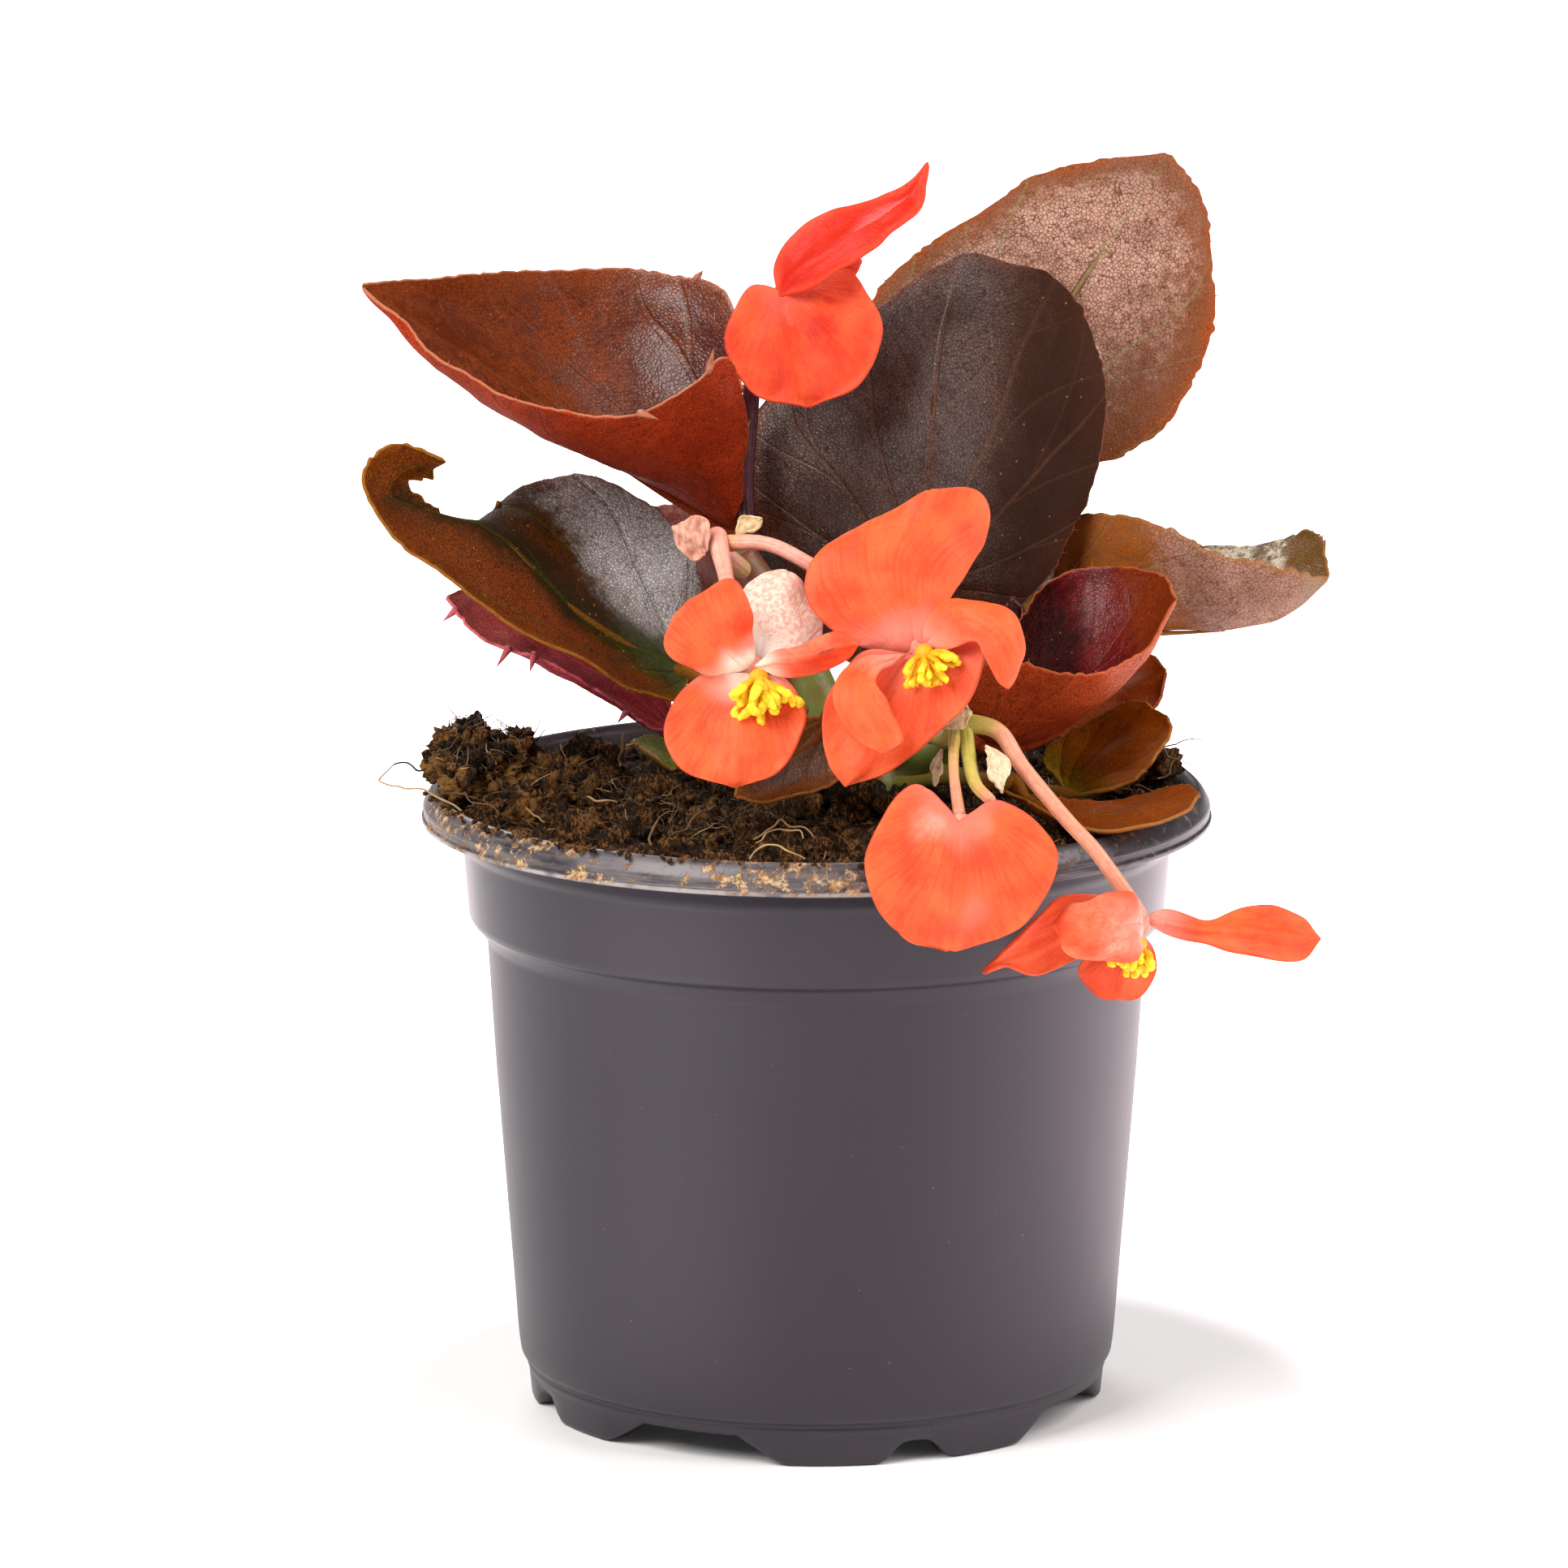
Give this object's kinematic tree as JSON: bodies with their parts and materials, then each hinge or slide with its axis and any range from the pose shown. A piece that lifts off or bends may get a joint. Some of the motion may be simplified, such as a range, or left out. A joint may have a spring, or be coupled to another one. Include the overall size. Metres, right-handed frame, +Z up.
{
  "type": "potted begonia",
  "caption": "Potted bronze-leaved begonia with cupped, toothed leaves and open orange-red flowers on arching stalks, in a round tapered nursery pot filled with soil.",
  "frame": {"origin": "bottom centre of the bounding box of pot and plant together, on the plane that the pot's feet stand on; the pot's axis is at x = -5.0 mm, y = 3.4 mm", "axes": "+Z up along the pot's axis, -Y is the front that the picture shows, +X to the right in it"},
  "size_m": [0.1276, 0.1116, 0.1661],
  "materials": {
    "pot": "satin",
    "soil": "crumbly, moist",
    "stem": "smooth, fleshy",
    "leaf_red": "waxy",
    "leaf_olive": "waxy",
    "leaf_crimson": "waxy",
    "leaf_dark": "waxy",
    "leaf_pink": "waxy",
    "leaf_green": "waxy",
    "petal": "soft, slightly translucent",
    "stalk_dark": "glossy",
    "stalk": "smooth, fleshy",
    "stamen": "powdery",
    "bract": "papery"
  },
  "bodies": {
    "root": {"pot": "pot", "soil": "soil", "stems": "stem", "leaf_upper_left": "leaf_red", "leaf_mid_left": "leaf_olive", "leaf_low_left": "leaf_crimson", "leaf_centre": "leaf_dark", "leaf_upper_right": "leaf_pink", "leaf_right": "leaf_olive", "leaf_cup_right": "leaf_red", "leaf_behind_right": "leaf_red", "leaf_low_right": "leaf_olive", "leaf_rim": "leaf_olive", "leaf_small_front": "leaf_red", "leaf_small_left": "leaf_green", "leaf_behind_left": "leaf_pink", "leaf_young": "leaf_dark", "leaf_back_right": "leaf_dark", "leaf_back": "leaf_dark", "leaf_back_left": "leaf_dark", "bloom_top": "petal", "bloom_left": "petal", "bloom_middle": "petal", "bloom_heart": "petal", "bloom_spoon": "petal", "stalk_top": "stalk_dark", "stalk_left": "stalk", "stalk_right": "stalk", "stamens_left": "stamen", "stamens_middle": "stamen", "stamens_spoon": "stamen", "bract_withered": "bract", "bract_left": "bract", "bract_right_top": "bract", "bract_right_low": "bract", "bract_right_mid": "bract"}
  },
  "joints": []
}
